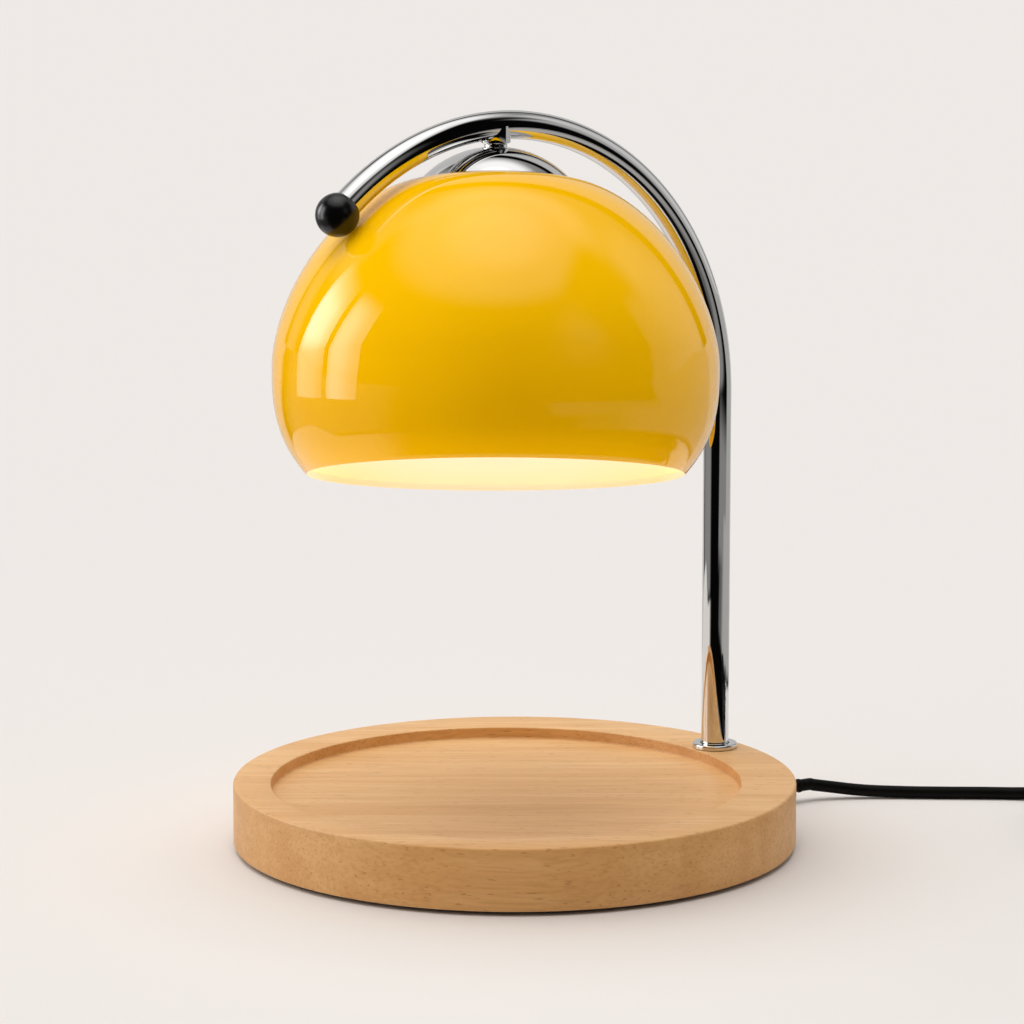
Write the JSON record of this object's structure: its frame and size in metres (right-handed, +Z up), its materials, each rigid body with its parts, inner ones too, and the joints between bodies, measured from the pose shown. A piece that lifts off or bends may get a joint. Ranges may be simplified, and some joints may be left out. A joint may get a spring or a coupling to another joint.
{
  "type": "candle warmer lamp",
  "caption": "Candle warmer lamp: round wooden tray with a bent chrome arm, a tilting yellow glass shade on its crown, a reflector bulb inside, and a cord with a dimmer and plug.",
  "frame": {"origin": "on the surface the lamp stands on, below the middle of the lamp's outline without its cord; the tray's centre is 4.9 mm behind it", "axes": "+Z up, -Y towards the front, +X to the right as the front is seen"},
  "size_m": [0.385, 0.2094, 0.2627],
  "materials": {
    "beech": "fine horizontal grain, satin varnish",
    "chrome": "polished chrome plate",
    "zinc_steel": "zinc plated steel",
    "black_gloss": "glossy black",
    "black_cord": "satin black cord sheath",
    "rubber": "matte rubber",
    "yellow_glass": "yellow cased glass, white inside, glossy",
    "ceramic": "plain white ceramic",
    "clear_glass": "clear glass",
    "reflector": "vapour coated reflector",
    "brass": "plain brass",
    "black_plastic": "satin black plastic",
    "board": "circuit board",
    "white_lead": "white silicone sleeve"
  },
  "bodies": {
    "base": {"base_disc": "beech", "ballast_disc": "zinc_steel", "bottom_cover": "black_plastic", "cover_screw_0": "zinc_steel", "cover_screw_1": "zinc_steel", "cover_screw_2": "zinc_steel", "foot_pad_0": "rubber", "foot_pad_1": "rubber", "foot_pad_2": "rubber", "foot_pad_3": "rubber", "post_sleeve": "chrome", "cord_relief": "black_cord", "cord_inner": "black_cord", "base_lead": "black_cord", "cord_run": "black_cord", "cord_mid": "black_cord", "cord_tail": "black_cord", "cord_coil": "black_cord", "coil_tie": "black_plastic", "dimmer_base": "black_plastic", "dimmer_cover": "black_plastic", "dimmer_screw_0": "zinc_steel", "dimmer_screw_1": "zinc_steel", "dimmer_pot": "black_plastic", "dimmer_board": "board", "plug_body": "black_plastic", "plug_pin_0": "zinc_steel", "plug_pin_1": "zinc_steel"},
    "arm": {"arm_tube": "chrome", "ball_knob": "black_gloss", "knob_insert": "zinc_steel", "foot_nipple": "brass", "foot_washer": "zinc_steel", "foot_nut": "zinc_steel", "arm_lead": "black_cord", "crown_stem": "chrome", "swivel_spacer": "chrome"},
    "yoke": {"yoke_bracket": "chrome", "tilt_pin": "zinc_steel", "pin_clip": "zinc_steel"},
    "shade": {"glass_shade": "yellow_glass", "cap_dome": "chrome", "shade_plate": "zinc_steel", "tilt_hub": "brass", "glass_gasket": "rubber", "clamp_plate": "zinc_steel", "clamp_nut": "zinc_steel", "holder_bracket": "zinc_steel", "lampholder": "ceramic", "holder_screw_0": "zinc_steel", "holder_screw_1": "zinc_steel", "holder_lead": "white_lead"},
    "bulb": {"bulb_base": "ceramic", "bulb_pin_0": "zinc_steel", "bulb_pin_1": "zinc_steel", "bulb_reflector": "reflector", "bulb_burner": "clear_glass", "bulb_lens": "clear_glass"},
    "dimmer_wheel": {"dimmer_wheel": "black_plastic"}
  },
  "joints": [
    {"name": "arm_swing", "type": "hinge", "parent": "base", "child": "arm", "pos_m": [0.0732, 0.05446, 0.0244], "axis": [0, 0, 1], "range_deg": [-90, 90]},
    {"name": "shade_turn", "type": "hinge", "parent": "arm", "child": "yoke", "pos_m": [-0.00654, -0.01058, 0.2393], "axis": [0, 0, 1], "range_deg": [0, 60]},
    {"name": "shade_tilt", "type": "hinge", "parent": "yoke", "child": "shade", "pos_m": [-0.00654, -0.01058, 0.2393], "axis": [-1, 0, 0], "range_deg": [-15, 0]},
    {"name": "bulb_twist", "type": "hinge", "parent": "shade", "child": "bulb", "pos_m": [-0.00654, -0.0199, 0.20453], "axis": [0, 0.2588, 0.9659], "range_deg": [0, 15]},
    {"name": "dimmer_turn", "type": "hinge", "parent": "base", "child": "dimmer_wheel", "pos_m": [0.2065, 0.0194, 0.0096], "axis": [1, 0, 0], "range_deg": [-135, 135]}
  ]
}
